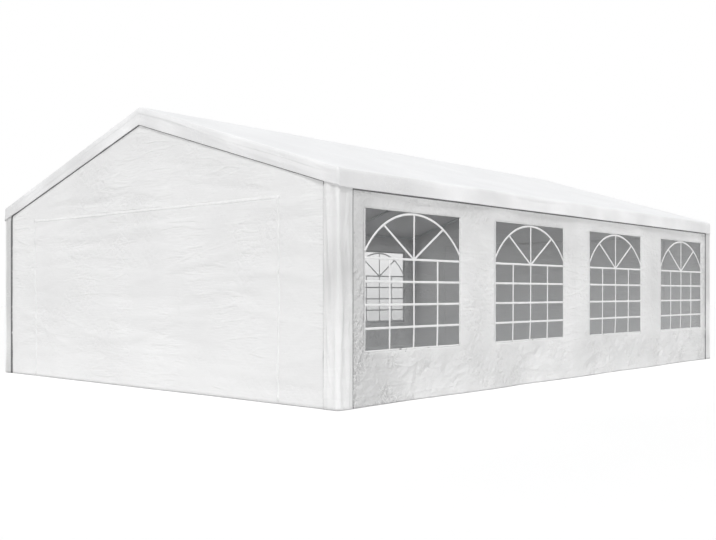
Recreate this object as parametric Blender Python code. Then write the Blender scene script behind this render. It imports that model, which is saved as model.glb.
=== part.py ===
"""Marquee tent, 6 m by 8 m: a plug-together steel tube frame under white sheeting.

Five frames stand 1.98 m apart. Each has two legs on foot plates and two rafters,
plugged into fittings on three rails: one rail along each eave and one along the ridge.
The roof cover hangs over the frame with a valance all round. Two side walls with four
windows each, two gable walls with a zipped door curtain each, and four corner covers
close it. Metres, +Z up. X is across the tent, Y along it, and the ground is Z = 0.
The front gable faces -Y, and left and right are as seen by someone facing it.
"""

import math

import bmesh
import bpy
from mathutils import Matrix, Vector

# Overall size, over the cover
WIDTH = 6.0
LENGTH = 8.0
EAVE_Z = 2.079
RIDGE_Z = 2.985
HALF_WIDTH = WIDTH / 2
HALF_LENGTH = LENGTH / 2
ROOF_SLOPE = (RIDGE_Z - EAVE_Z) / HALF_WIDTH
ROOF_ANGLE = math.atan(ROOF_SLOPE)

# Sheeting thicknesses, and the gap between layers that touch
COVER_T = 0.004
WALL_T = 0.003
FILM_T = 0.0015
TOUCH = 0.0003

# Valances, measured at their lower edges
SIDE_VALANCE_Z = 1.915
GABLE_VALANCE_APEX_Z = 2.786
GABLE_VALANCE_STOP = 0.015

# Steel tube frame
TUBE_R = 0.019
BORE_R = TUBE_R + 0.0004
RAFTER_SOCKET_R = 0.0215
LEG_SOCKET_R = 0.0225
RUN_R = 0.024
TUBE_SIDES = 16
SOCKET_LENGTH = 0.13
SOCKET_FLOOR = 0.03
BAY = 1.98
FRAME_YS = [BAY * step for step in (-2, -1, 0, 1, 2)]
LEG_X = 2.96
SEAT_GAP = 0.0004
RAFTER_DROP = (COVER_T + SEAT_GAP + RUN_R) / math.cos(ROOF_ANGLE)
EAVE_RAIL_Z = RIDGE_Z - ROOF_SLOPE * LEG_X - RAFTER_DROP
RIDGE_RAIL_Z = RIDGE_Z - RAFTER_DROP

# Feet
PLATE_SIDE = 0.10
PLATE_T = 0.006
PLATE_INSET = 0.03
SLEEVE_HEIGHT = 0.08
PEG_HOLE_R = 0.006
PEG_HOLE_INSET = 0.016

# Walls: how far out each layer lies from the legs' centre line
WALL_IN = RUN_R + 0.0005
WALL_OUT = WALL_IN + WALL_T
CORNER_IN = WALL_OUT + TOUCH
CORNER_OUT = CORNER_IN + WALL_T
LEG_Y = FRAME_YS[-1]
HEM_Z = 0.004
SIDE_WALL_TOP_Z = 2.06
GABLE_TOP_DROP = 0.015
CORNER_ARM = 0.17
CORNER_TOP_Z = 2.0

# Windows, one in the middle of each bay
WINDOW_WIDTH = 1.384
WINDOW_SILL_Z = 0.48
WINDOW_HEAD_Z = 1.76
WINDOW_YS = [BAY * step for step in (-1.5, -0.5, 0.5, 1.5)]
FILM_LAP = 0.03

# Zipped door curtain in each gable wall
DOOR_WIDTH = 4.44
DOOR_HEAD_Z = 1.88


def clear_scene():
    """Start from nothing."""
    for obj in list(bpy.data.objects):
        bpy.data.objects.remove(obj)


def new_collection(name):
    collection = bpy.data.collections.new(name)
    bpy.context.scene.collection.children.link(collection)
    return collection


def new_material(name, colour, roughness, metallic=0.0, alpha=1.0):
    material = bpy.data.materials.new(name)
    material.use_nodes = True
    shader = material.node_tree.nodes["Principled BSDF"]
    shader.inputs["Base Color"].default_value = (*colour, 1.0)
    shader.inputs["Roughness"].default_value = roughness
    shader.inputs["Metallic"].default_value = metallic
    shader.inputs["Alpha"].default_value = alpha
    return material


clear_scene()
PARTS = new_collection("marquee_tent")
CUTTERS = new_collection("cutters")
SHEETING = new_material("white_sheeting", (0.86, 0.86, 0.86), 0.45)
WINDOW_FILM = new_material("window_film", (0.75, 0.78, 0.80), 0.15, alpha=0.35)
STEEL = new_material("galvanised_steel", (0.62, 0.64, 0.65), 0.4, metallic=0.9)


def roof_z(x):
    """Height of the cover's outer face at a distance x from the ridge line."""
    return RIDGE_Z - ROOF_SLOPE * abs(x)


def add_object(name, data, material, collection=None):
    """Link a mesh or curve as a named object with one material."""
    obj = bpy.data.objects.new(name, data)
    data.materials.append(material)
    (collection or PARTS).objects.link(obj)
    return obj


def hide_helper(obj):
    obj.hide_render = True
    obj.display_type = "WIRE"
    return obj


def cylinder_mesh(name, radius, length):
    """A closed cylinder about its own Z axis, centred on its origin."""
    mesh = bpy.data.meshes.new(name)
    bm = bmesh.new()
    bmesh.ops.create_cone(
        bm,
        cap_ends=True,
        segments=TUBE_SIDES,
        radius1=radius,
        radius2=radius,
        depth=length,
    )
    bm.to_mesh(mesh)
    bm.free()
    mesh.shade_smooth()
    mesh.set_sharp_from_angle(angle=math.radians(40))
    return mesh


def add_cylinder(name, start, end, radius, collection=None):
    """A cylinder whose end faces are centred on two points."""
    start = Vector(start)
    end = Vector(end)
    mesh = cylinder_mesh(name, radius, (end - start).length)
    obj = add_object(name, mesh, STEEL, collection)
    obj.location = (start + end) / 2
    obj.rotation_mode = "QUATERNION"
    obj.rotation_quaternion = (end - start).to_track_quat("Z", "Y")
    return obj


def add_box(name, low, high, material, collection=None):
    """An upright box between two corners."""
    low = Vector(low)
    high = Vector(high)
    mesh = bpy.data.meshes.new(name)
    bm = bmesh.new()
    bmesh.ops.create_cube(bm, size=1.0, matrix=Matrix.Diagonal((*(high - low), 1.0)))
    bm.to_mesh(mesh)
    bm.free()
    obj = add_object(name, mesh, material, collection)
    obj.location = (low + high) / 2
    return obj


def outline_curve(name, outlines, thickness):
    """A flat 2D curve with a thickness. The first outline is the edge, the others are holes."""
    curve = bpy.data.curves.new(name, "CURVE")
    curve.dimensions = "2D"
    curve.fill_mode = "BOTH"
    curve.extrude = thickness / 2
    for outline in outlines:
        spline = curve.splines.new("POLY")
        spline.points.add(len(outline) - 1)
        for point, (u, v) in zip(spline.points, outline):
            point.co = (u, v, 0.0, 1.0)
        spline.use_cyclic_u = True
    return curve


def rectangle(u_low, v_low, u_high, v_high):
    return [(u_low, v_low), (u_high, v_low), (u_high, v_high), (u_low, v_high)]


def add_prism(name, outline, y_low, y_high):
    """A mesh prism along Y from an outline in X and Z, for use in a Boolean."""
    curve = outline_curve(name + "_outline", [outline], y_high - y_low)
    guide = bpy.data.objects.new(name + "_outline", curve)
    CUTTERS.objects.link(guide)
    guide.rotation_euler = (math.radians(90), 0.0, 0.0)
    guide.location = (0.0, (y_low + y_high) / 2, 0.0)
    bpy.context.view_layer.update()
    graph = bpy.context.evaluated_depsgraph_get()
    mesh = bpy.data.meshes.new_from_object(guide.evaluated_get(graph))
    bm = bmesh.new()
    bm.from_mesh(mesh)
    bmesh.ops.remove_doubles(bm, verts=bm.verts, dist=0.0001)
    bmesh.ops.recalc_face_normals(bm, faces=bm.faces)
    bm.to_mesh(mesh)
    bm.free()
    mesh.materials.clear()
    obj = add_object(name, mesh, SHEETING, CUTTERS)
    obj.matrix_world = guide.matrix_world
    bpy.data.objects.remove(guide)
    return obj


def boolean(obj, operation, operand):
    """Join or cut with one helper, or with every helper in a collection."""
    modifier = obj.modifiers.new(operation.lower(), "BOOLEAN")
    modifier.operation = operation
    modifier.solver = "EXACT"
    if isinstance(operand, bpy.types.Collection):
        modifier.operand_type = "COLLECTION"
        modifier.collection = operand
    else:
        modifier.object = operand
    return modifier


# Foot plate, sleeve and leg tube, welded into one piece


def build_leg(name, side, y):
    """A leg that stands on its foot plate and plugs into the eave rail's socket."""
    x = side * LEG_X
    top_z = EAVE_RAIL_Z - SOCKET_FLOOR - TOUCH
    leg = add_cylinder(name, (x, y, PLATE_T / 2), (x, y, top_z), TUBE_R)
    helpers = bpy.data.collections.new(name + "_foot")
    CUTTERS.children.link(helpers)
    plate_x = side * (LEG_X - PLATE_INSET)
    end = int(y / LEG_Y)
    plate_y = y - end * PLATE_INSET
    half = PLATE_SIDE / 2
    plate = add_box(
        name + "_plate",
        (plate_x - half, plate_y - half, 0.0),
        (plate_x + half, plate_y + half, PLATE_T),
        STEEL,
        helpers,
    )
    sleeve = add_cylinder(
        name + "_sleeve",
        (x, y, PLATE_T / 2),
        (x, y, SLEEVE_HEIGHT),
        LEG_SOCKET_R,
        helpers,
    )
    hide_helper(plate)
    hide_helper(sleeve)
    boolean(leg, "UNION", helpers)
    hole_x = plate_x - side * (half - PEG_HOLE_INSET)
    for step in (-1, 1):
        hole_y = plate_y + step * (half - PEG_HOLE_INSET)
        hole = add_cylinder(
            f"{name}_peg_hole_{step}",
            (hole_x, hole_y, -PLATE_T),
            (hole_x, hole_y, 2 * PLATE_T),
            PEG_HOLE_R,
            CUTTERS,
        )
        boolean(leg, "DIFFERENCE", hide_helper(hole))
    return leg


# Rafters, from the eave fittings to the ridge fittings


def eave_point(side, y):
    return Vector((side * LEG_X, y, EAVE_RAIL_Z))


def ridge_point(y):
    return Vector((0.0, y, RIDGE_RAIL_Z))


def build_rafter(name, side, y):
    """A straight tube between the floors of two sockets."""
    low = eave_point(side, y)
    high = ridge_point(y)
    along = (high - low).normalized() * (SOCKET_FLOOR + TOUCH)
    return add_cylinder(name, low + along, high - along, TUBE_R)


# Rails: the tubes between the frames, with the fittings that hold legs and rafters


def build_rail(name, centre_at, branches):
    """A rail along Y. Every frame has one socket a branch, each a direction and a radius."""
    first = centre_at(FRAME_YS[0])
    last = centre_at(FRAME_YS[-1])
    end_reach = Vector((0.0, RUN_R, 0.0))
    reach = Vector((0.0, SOCKET_LENGTH, 0.0))
    rail = add_cylinder(name, first, last, TUBE_R)
    sockets = bpy.data.collections.new(name + "_sockets")
    bores = bpy.data.collections.new(name + "_bores")
    CUTTERS.children.link(sockets)
    CUTTERS.children.link(bores)
    for number, y in enumerate(FRAME_YS, start=1):
        centre = centre_at(y)
        start = centre - (end_reach if number == 1 else reach)
        end = centre + (end_reach if number == len(FRAME_YS) else reach)
        run = add_cylinder(f"{name}_run_{number}", start, end, RUN_R, sockets)
        hide_helper(run)
        for turn, (direction, radius) in enumerate(branches, start=1):
            label = f"{name}_{number}_{turn}"
            mouth = centre + direction * SOCKET_LENGTH
            floor = centre + direction * SOCKET_FLOOR
            beyond = centre + direction * (SOCKET_LENGTH + SOCKET_FLOOR)
            socket = add_cylinder(label + "_socket", centre, mouth, radius, sockets)
            bore = add_cylinder(label + "_bore", floor, beyond, BORE_R, bores)
            hide_helper(socket)
            hide_helper(bore)
    boolean(rail, "UNION", sockets)
    boolean(rail, "DIFFERENCE", bores)
    return rail


def build_frame():
    down = Vector((0.0, 0.0, -1.0))
    for side, word in ((-1, "left"), (1, "right")):
        up_slope = (ridge_point(0.0) - eave_point(side, 0.0)).normalized()
        for number, y in enumerate(FRAME_YS, start=1):
            build_leg(f"{word}_leg_{number}", side, y)
            build_rafter(f"{word}_rafter_{number}", side, y)
        build_rail(
            f"{word}_eave_rail",
            lambda y, side=side: eave_point(side, y),
            [(down, LEG_SOCKET_R), (up_slope, RAFTER_SOCKET_R)],
        )
    down_slopes = [
        (eave_point(side, 0.0) - ridge_point(0.0)).normalized() for side in (-1, 1)
    ]
    build_rail(
        "ridge_rail", ridge_point, [(slope, RAFTER_SOCKET_R) for slope in down_slopes]
    )


# Roof cover, one sheet with a valance all round


def build_roof_cover():
    """A thin gabled shell, open below, whose ends keep only a band under the rake."""
    cutting_z = SIDE_VALANCE_Z - 0.1
    inner_x = HALF_WIDTH - COVER_T
    drop = COVER_T / math.cos(ROOF_ANGLE)
    outer = [
        (-HALF_WIDTH, SIDE_VALANCE_Z),
        (HALF_WIDTH, SIDE_VALANCE_Z),
        (HALF_WIDTH, EAVE_Z),
        (0.0, RIDGE_Z),
        (-HALF_WIDTH, EAVE_Z),
    ]
    inner = [
        (-inner_x, cutting_z),
        (inner_x, cutting_z),
        (inner_x, roof_z(inner_x) - drop),
        (0.0, RIDGE_Z - drop),
        (-inner_x, roof_z(inner_x) - drop),
    ]
    opening_x = HALF_WIDTH - GABLE_VALANCE_STOP
    fall = (GABLE_VALANCE_APEX_Z - SIDE_VALANCE_Z) / HALF_WIDTH
    opening = [
        (-opening_x, cutting_z),
        (opening_x, cutting_z),
        (opening_x, GABLE_VALANCE_APEX_Z - fall * opening_x),
        (0.0, GABLE_VALANCE_APEX_Z),
        (-opening_x, GABLE_VALANCE_APEX_Z - fall * opening_x),
    ]
    inner_y = HALF_LENGTH - COVER_T
    past_y = HALF_LENGTH + 0.1
    cover = add_prism("roof_cover", outer, -HALF_LENGTH, HALF_LENGTH)
    CUTTERS.objects.unlink(cover)
    PARTS.objects.link(cover)
    hollow = add_prism("roof_cover_hollow", inner, -inner_y, inner_y)
    gable_opening = add_prism("roof_cover_opening", opening, -past_y, past_y)
    boolean(cover, "DIFFERENCE", hide_helper(hollow))
    boolean(cover, "DIFFERENCE", hide_helper(gable_opening))
    return cover


# Side walls with their window openings, and the films that close them


def build_side_wall(name, side):
    """A sheet the length of the tent with one rectangular hole a bay."""
    half_length = LEG_Y + WALL_IN - TOUCH
    half_window = WINDOW_WIDTH / 2
    outlines = [rectangle(-half_length, HEM_Z, half_length, SIDE_WALL_TOP_Z)]
    for y in WINDOW_YS:
        outlines.append(
            rectangle(y - half_window, WINDOW_SILL_Z, y + half_window, WINDOW_HEAD_Z)
        )
    wall = add_object(name, outline_curve(name, outlines, WALL_T), SHEETING)
    wall.rotation_euler = (math.radians(90), 0.0, math.radians(90))
    wall.location = (side * (LEG_X + (WALL_IN + WALL_OUT) / 2), 0.0, 0.0)
    return wall


def build_window(name, side, y):
    """A clear film lapped behind the wall and welded round its hole."""
    half = WINDOW_WIDTH / 2 + FILM_LAP
    outer_x = LEG_X + WALL_IN - TOUCH
    xs = sorted((side * outer_x, side * (outer_x - FILM_T)))
    return add_box(
        name,
        (xs[0], y - half, WINDOW_SILL_Z - FILM_LAP),
        (xs[1], y + half, WINDOW_HEAD_Z + FILM_LAP),
        WINDOW_FILM,
    )


# Gable walls, each with a doorway closed by a zipped curtain


def build_gable_wall(name, end):
    """A five-sided sheet with a doorway cut up from its hem."""
    half = LEG_X + WALL_OUT
    drop = COVER_T / math.cos(ROOF_ANGLE) + GABLE_TOP_DROP
    door = DOOR_WIDTH / 2
    outline = [
        (-half, HEM_Z),
        (-door, HEM_Z),
        (-door, DOOR_HEAD_Z),
        (door, DOOR_HEAD_Z),
        (door, HEM_Z),
        (half, HEM_Z),
        (half, roof_z(half) - drop),
        (0.0, RIDGE_Z - drop),
        (-half, roof_z(half) - drop),
    ]
    wall = add_object(name, outline_curve(name, [outline], WALL_T), SHEETING)
    wall.rotation_euler = (math.radians(90), 0.0, 0.0)
    wall.location = (0.0, end * (LEG_Y + (WALL_IN + WALL_OUT) / 2), 0.0)
    return wall


def build_door_curtain(name, end):
    """The sheet between the two zips, shut."""
    half = DOOR_WIDTH / 2 - TOUCH
    ys = sorted((end * (LEG_Y + WALL_IN), end * (LEG_Y + WALL_OUT)))
    low = (-half, ys[0], HEM_Z)
    high = (half, ys[1], DOOR_HEAD_Z - TOUCH)
    return add_box(name, low, high, SHEETING)


# Corner covers, folded round the four corner legs outside the walls


def build_corner_cover(name, side, end):
    """An upright angle of sheeting with equal arms along the side and the gable."""
    x_out = LEG_X + CORNER_OUT
    x_in = LEG_X + CORNER_IN
    y_out = LEG_Y + CORNER_OUT
    y_in = LEG_Y + CORNER_IN
    outline = [
        (x_out, y_out),
        (x_out - CORNER_ARM, y_out),
        (x_out - CORNER_ARM, y_in),
        (x_in, y_in),
        (x_in, y_out - CORNER_ARM),
        (x_out, y_out - CORNER_ARM),
    ]
    outline = [(side * x, end * y) for x, y in outline]
    height = CORNER_TOP_Z - HEM_Z
    cover = add_object(name, outline_curve(name, [outline], height), SHEETING)
    cover.location = (0.0, 0.0, HEM_Z + height / 2)
    return cover


def build_walls():
    for side, word in ((-1, "left"), (1, "right")):
        build_side_wall(f"{word}_side_wall", side)
        for number, y in enumerate(WINDOW_YS, start=1):
            build_window(f"{word}_window_{number}", side, y)
        for end, place in ((-1, "front"), (1, "rear")):
            build_corner_cover(f"{place}_{word}_corner_cover", side, end)
    for end, place in ((-1, "front"), (1, "rear")):
        build_gable_wall(f"{place}_gable_wall", end)
        build_door_curtain(f"{place}_door_curtain", end)


build_frame()
build_roof_cover()
build_walls()
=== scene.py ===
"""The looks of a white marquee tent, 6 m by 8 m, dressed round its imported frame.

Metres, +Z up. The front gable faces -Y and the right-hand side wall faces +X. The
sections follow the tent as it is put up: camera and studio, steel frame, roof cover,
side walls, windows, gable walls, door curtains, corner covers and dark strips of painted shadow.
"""

import math

import bpy
import numpy as np
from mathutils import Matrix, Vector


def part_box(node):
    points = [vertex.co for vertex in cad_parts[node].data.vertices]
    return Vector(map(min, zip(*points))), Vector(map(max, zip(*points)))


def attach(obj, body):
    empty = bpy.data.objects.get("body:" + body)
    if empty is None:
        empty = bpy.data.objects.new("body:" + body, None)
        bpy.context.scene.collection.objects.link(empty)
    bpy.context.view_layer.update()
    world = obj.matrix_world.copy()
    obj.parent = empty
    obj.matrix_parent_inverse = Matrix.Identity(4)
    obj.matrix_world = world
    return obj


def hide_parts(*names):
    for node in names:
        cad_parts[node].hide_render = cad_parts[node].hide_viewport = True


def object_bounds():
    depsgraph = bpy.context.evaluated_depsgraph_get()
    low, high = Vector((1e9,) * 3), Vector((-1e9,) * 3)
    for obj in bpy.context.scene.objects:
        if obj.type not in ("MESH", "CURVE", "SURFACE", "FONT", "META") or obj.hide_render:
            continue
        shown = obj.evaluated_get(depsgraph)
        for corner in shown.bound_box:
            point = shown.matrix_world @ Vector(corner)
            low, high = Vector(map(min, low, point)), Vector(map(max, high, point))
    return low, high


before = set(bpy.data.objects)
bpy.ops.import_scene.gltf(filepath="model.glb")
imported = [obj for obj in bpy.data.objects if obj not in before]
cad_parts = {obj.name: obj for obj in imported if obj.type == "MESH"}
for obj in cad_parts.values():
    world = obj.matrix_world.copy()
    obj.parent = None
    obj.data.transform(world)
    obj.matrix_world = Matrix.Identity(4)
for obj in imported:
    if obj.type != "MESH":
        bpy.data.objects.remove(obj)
cad_low, cad_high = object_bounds()


# Camera.
# It stands off the front right corner, 1 m above the ground, and looks level, so that
# the tent's upright edges stay upright. Its picture is 716 by 540.

PICTURE_WIDTH = 716.0
FOCAL_PIXELS = 904.1
SHIFT_RIGHT = -77.3
SHIFT_UP = 23.1
SENSOR_WIDTH = 36.0
CAMERA_PLACE = (8.503, -9.439, 1.006)
CAMERA_TURN = 39.212

camera_data = bpy.data.cameras.new("camera")
camera_data.sensor_width = SENSOR_WIDTH
camera_data.lens = SENSOR_WIDTH * FOCAL_PIXELS / PICTURE_WIDTH
camera_data.shift_x = SHIFT_RIGHT / PICTURE_WIDTH
camera_data.shift_y = SHIFT_UP / PICTURE_WIDTH
camera = bpy.data.objects.new("camera", camera_data)
camera.location = CAMERA_PLACE
camera.rotation_euler = (math.radians(90.0), 0.0, math.radians(CAMERA_TURN))
bpy.context.scene.collection.objects.link(camera)
bpy.context.scene.camera = camera
bpy.context.scene.view_settings.view_transform = "Standard"


# Studio.
# A white sweep: a pale matt floor that runs into a white background, a soft sky that is
# bright at the horizon and dim overhead, and one high light from the front right that
# shows up the creases.

FLOOR_HALF = 60.0
FLOOR_DROP = 0.0005
FLOOR_TONES = (0.94, 0.96)
HORIZON_LEVEL = 1.0
ZENITH_LEVEL = 0.25
SKY_FADE = 2.5
KEY_LEVEL = 2.55
KEY_ANGLE = 14.0
KEY_HEIGHT = 64.0
KEY_TURN = 36.0


def add_node(tree, kind, inputs=None, **settings):
    """A node with its settings made, and its inputs set to values or linked to sockets."""
    node = tree.nodes.new(kind)
    for name, value in settings.items():
        setattr(node, name, value)
    for name, value in (inputs or {}).items():
        if isinstance(value, bpy.types.NodeSocket):
            tree.links.new(value, node.inputs[name])
        else:
            node.inputs[name].default_value = value
    return node


def add_math(tree, operation, first, second=0.0, third=0.0):
    """The output of one Math node."""
    inputs = {0: first, 1: second, 2: third}
    return add_node(tree, "ShaderNodeMath", inputs, operation=operation).outputs[0]


def remap(tree, value, low, high, to_low=0.0, to_high=1.0, curve="LINEAR"):
    """A value from low to high, carried to the range from to_low to to_high."""
    inputs = {"Value": value, "From Min": low, "From Max": high}
    inputs = {**inputs, "To Min": to_low, "To Max": to_high}
    node = add_node(tree, "ShaderNodeMapRange", inputs, interpolation_type=curve)
    return node.outputs["Result"]


def noise(tree, where, scale, detail=2.0, output="Fac"):
    """Clouds about one over scale metres wide, as a value or as a colour."""
    inputs = {"Vector": where, "Scale": scale, "Detail": detail}
    return add_node(tree, "ShaderNodeTexNoise", inputs).outputs[output]


def add_shader(tree, kind, inputs=None):
    """The output of one shader node."""
    return add_node(tree, f"ShaderNodeBsdf{kind}", inputs).outputs["BSDF"]


def show(tree, shader, other=None, share=0.0):
    """Put a shader on the material, with a share of another one mixed in, if any."""
    if other is not None:
        mixed = add_node(tree, "ShaderNodeMixShader", {"Fac": share, 1: shader, 2: other})
        shader = mixed.outputs["Shader"]
    add_node(tree, "ShaderNodeOutputMaterial", {"Surface": shader})


def new_material(name):
    """An empty material and its tree."""
    material = bpy.data.materials.new(name)
    material.use_nodes = True
    material.node_tree.nodes.clear()
    return material, material.node_tree


def studio_floor():
    """Matt paint, a shade lighter and darker in clouds a metre wide, clear from below."""
    material, tree = new_material("studio_floor")
    where = add_node(tree, "ShaderNodeTexCoord").outputs["Object"]
    tone = remap(tree, noise(tree, where, scale=0.8), 0.0, 1.0, *FLOOR_TONES)
    paint = add_shader(tree, "Principled", {"Base Color": tone, "Roughness": 0.9})
    behind = add_node(tree, "ShaderNodeNewGeometry").outputs["Backfacing"]
    show(tree, paint, add_shader(tree, "Transparent"), behind)
    return material


floor_mesh = bpy.data.meshes.new("studio_floor")
floor_corners = [(-1, -1), (1, -1), (1, 1), (-1, 1)]
floor_mesh.from_pydata(
    [(x * FLOOR_HALF, y * FLOOR_HALF, -FLOOR_DROP) for x, y in floor_corners],
    [],
    [(0, 1, 2, 3)],
)
floor_mesh.materials.append(studio_floor())
floor = bpy.data.objects.new("studio_floor", floor_mesh)
bpy.context.scene.collection.objects.link(floor)

world = bpy.data.worlds.new("studio")
world.use_nodes = True
world.node_tree.nodes.clear()
bpy.context.scene.world = world
sky_tree = world.node_tree
direction = add_node(sky_tree, "ShaderNodeTexCoord").outputs["Generated"]
upward = add_node(sky_tree, "ShaderNodeSeparateXYZ", {"Vector": direction}).outputs["Z"]
lowness = remap(sky_tree, upward, 0.0, 1.0, 1.0, 0.0)
sky_level = add_math(
    sky_tree,
    "MULTIPLY_ADD",
    add_math(sky_tree, "POWER", lowness, SKY_FADE),
    HORIZON_LEVEL - ZENITH_LEVEL,
    ZENITH_LEVEL,
)
seen = add_node(sky_tree, "ShaderNodeLightPath").outputs["Is Camera Ray"]
level = remap(sky_tree, seen, 0.0, 1.0, sky_level, 1.0)
sky = add_node(
    sky_tree, "ShaderNodeBackground", {"Color": (1.0, 1.0, 1.0, 1.0), "Strength": level}
)
add_node(sky_tree, "ShaderNodeOutputWorld", {"Surface": sky.outputs["Background"]})

key_data = bpy.data.lights.new("key", "SUN")
key_data.energy = KEY_LEVEL
key_data.angle = math.radians(KEY_ANGLE)
key = bpy.data.objects.new("key", key_data)
key.rotation_euler = (math.radians(90.0 - KEY_HEIGHT), 0.0, math.radians(KEY_TURN))
bpy.context.scene.collection.objects.link(key)


# Steel frame: legs, rafters and rails.
# Round steel tubes 38 mm across, hot-dip galvanised, plugged into welded fittings. They
# keep the CAD solids and get a zinc finish: a matt pale grey with a spangle of flakes.

FLAKE_WIDTH = 1.0 / 120.0
ZINC_DARK = (0.60, 0.62, 0.64)
ZINC_PALE = (0.87, 0.88, 0.89)


def ramp(tree, value, stops):
    """The colour ramp that has each stop's colour at its position, from two stops up."""
    node = add_node(tree, "ShaderNodeValToRGB", {"Fac": value})
    elements = node.color_ramp.elements
    for number, (position, colour) in enumerate(stops):
        element = elements[number] if number < 2 else elements.new(position)
        element.position = position
        element.color = (*colour, 1.0)
    return node.outputs["Color"]


def raised(tree, height):
    """The normals of a surface that is raised by a height in metres."""
    return add_node(tree, "ShaderNodeBump", {"Height": height, "Distance": 1.0}).outputs["Normal"]


def galvanised_steel():
    """Zinc flakes 8 mm wide in two greys, with clouds of duller metal over them."""
    material, tree = new_material("galvanised_steel")
    where = add_node(tree, "ShaderNodeTexCoord").outputs["Object"]
    flakes = add_node(
        tree, "ShaderNodeTexVoronoi", {"Vector": where, "Scale": 1.0 / FLAKE_WIDTH}
    )
    grain = add_node(tree, "ShaderNodeSeparateColor", {"Color": flakes.outputs["Color"]})
    clouds = noise(tree, where, scale=9.0, detail=4.0)
    shade = add_math(tree, "MULTIPLY_ADD", grain.outputs["Red"], 0.35, clouds)
    zinc = {
        "Base Color": ramp(tree, shade, ((0.3, ZINC_DARK), (1.0, ZINC_PALE))),
        "Roughness": remap(tree, clouds, 0.0, 1.0, 0.32, 0.58),
        "Normal": raised(tree, add_math(tree, "MULTIPLY", shade, 0.00015)),
        "Metallic": 0.35,
    }
    show(tree, add_shader(tree, "Principled", zinc))
    return material


steel = galvanised_steel()
for name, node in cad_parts.items():
    if any(word in name for word in ("_leg_", "_rafter_", "_rail")):
        node.data.materials.clear()
        node.data.materials.append(steel)


# Roof cover.
# One sheet of woven, plastic-coated white sheeting with a valance all round. It is pulled
# over the tubes, so it rolls over the rakes and eaves, sags between the frames and hangs
# in loose waves at its hem. A welded seam runs along each rake below the tube.

RIDGE_Z = cad_high.z
HALF_WIDTH = cad_high.x
HALF_LENGTH = cad_high.y
VALANCE_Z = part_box("roof_cover")[0].z
VALANCE_DEPTH = 0.164
EAVE_Z = VALANCE_Z + VALANCE_DEPTH
SLOPE = (RIDGE_Z - EAVE_Z) / HALF_WIDTH
BAY = 1.98
SHEET_T = 0.003
RIDGE_ROUND = 0.006
RIDGE_FOLD = 0.014
SAG = 0.018
TUBE_INSET = 0.04
ROOF_STEP = 0.042

ROLL = 0.05
ROLL_WEIGHT = 1.6
ROLL_DROP = 0.040
ROLL_DROP_SWING = 0.009
ROLL_ROWS = 7
CORNER_FAN = 6
CORNER_CALM = 0.35

# The hem of a rake falls from its apex. Rows and seams are shares of the way down to it.
APEX_HEM_Z = 2.7925
APEX_HEM_ROUND = 0.01
RAKE_HEM_FALL = 0.2903
RAKE_TUCK = 0.006
VALANCE_ROWS = (0.07, 0.13, 0.165, 0.20, 0.27, 0.38, 0.5, 0.62, 0.74, 0.82, 0.86, 0.93, 1.0)
WELD_ROW = 0.165
WELD_HEIGHT = 0.0022
TUBE_ROW = 0.38
TUBE_HEIGHT = 0.0014
HEM_ROW = 0.84
HEM_HEIGHT = 0.0008
HEM_OUT = 0.004

ROOF_CREASES = dict(count=70, length=0.8, width=0.10, height=0.010, lean=1.2, spread=0.7)
VALANCE_SHORT = dict(count=300, length=0.12, width=0.022, height=0.0040, lean=1.3, spread=0.5)
VALANCE_LONG = dict(count=80, length=0.9, width=0.020, height=0.0085, lean=0.0, spread=0.05)

THREAD_PITCH = 0.010
THREAD_HEIGHT = 0.00004


def smooth_step(low, high, value):
    """0 below low, 1 above high, and 3tt - 2ttt between them."""
    share = np.clip((value - low) / (high - low), 0.0, 1.0)
    return share * share * (3.0 - 2.0 * share)


def loosened(distance, reach):
    """0 on a line that holds the sheet, rising as 1 - exp(-(distance / reach) squared)."""
    return 1.0 - np.exp(-((distance / reach) ** 2))


def in_bay(y):
    """The share of its bay that a place has passed, and its distance from a frame."""
    share = (y / BAY) % 1.0
    return share, np.minimum(share, 1.0 - share) * BAY


def creases(u, v, area, seed, count, length, width, height, lean, spread):
    """Height of many short creases at the places (u, v) of a sheet.

    Each is a ridge or a furrow: its height times exp(-across / width), rounded at the
    crest, times exp(-(along / length) squared). Area is the sheet's four limits.
    """
    rng = np.random.default_rng(seed)
    u_middle = rng.uniform(area[0], area[1], count)
    v_middle = rng.uniform(area[2], area[3], count)
    turn = rng.normal(lean, spread, count)
    size = rng.uniform(0.45, 1.0, count)
    signed = size * height * rng.choice((-1.0, 1.0), count)
    du = u[..., None] - u_middle
    dv = v[..., None] - v_middle
    along = du * np.cos(turn) + dv * np.sin(turn)
    across = dv * np.cos(turn) - du * np.sin(turn)
    rounded = np.sqrt(across**2 + (0.25 * width) ** 2)
    fade = np.exp(-((along / (length * size)) ** 2))
    return (signed * np.exp(-rounded / (width * size)) * fade).sum(-1)


def ripples(u, v, seed, count, length, height):
    """Height of long waves added up, each with its own direction, length and phase."""
    rng = np.random.default_rng(seed)
    turn = rng.uniform(0.0, math.pi, count)
    wave = length * rng.uniform(0.6, 1.6, count)
    phase = rng.uniform(0.0, 2.0 * math.pi, count)
    path = u[..., None] * np.cos(turn) + v[..., None] * np.sin(turn)
    waves = np.sin(2.0 * math.pi * path / wave + phase)
    return height * waves.sum(-1) / math.sqrt(count)


def waves_along(tree, where, axes, pitch):
    """The sine along each axis of a place, one wave to a pitch."""
    parts = add_node(tree, "ShaderNodeSeparateXYZ", {"Vector": where}).outputs
    turns = [add_math(tree, "MULTIPLY", parts[axis], 2.0 * math.pi / pitch) for axis in axes]
    return [add_math(tree, "SINE", turn) for turn in turns]


def drawn_out(tree, where, scale):
    """A place with its own scale along each axis."""
    inputs = {"Vector": where, "Scale": scale}
    return add_node(tree, "ShaderNodeMapping", inputs).outputs["Vector"]


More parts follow.
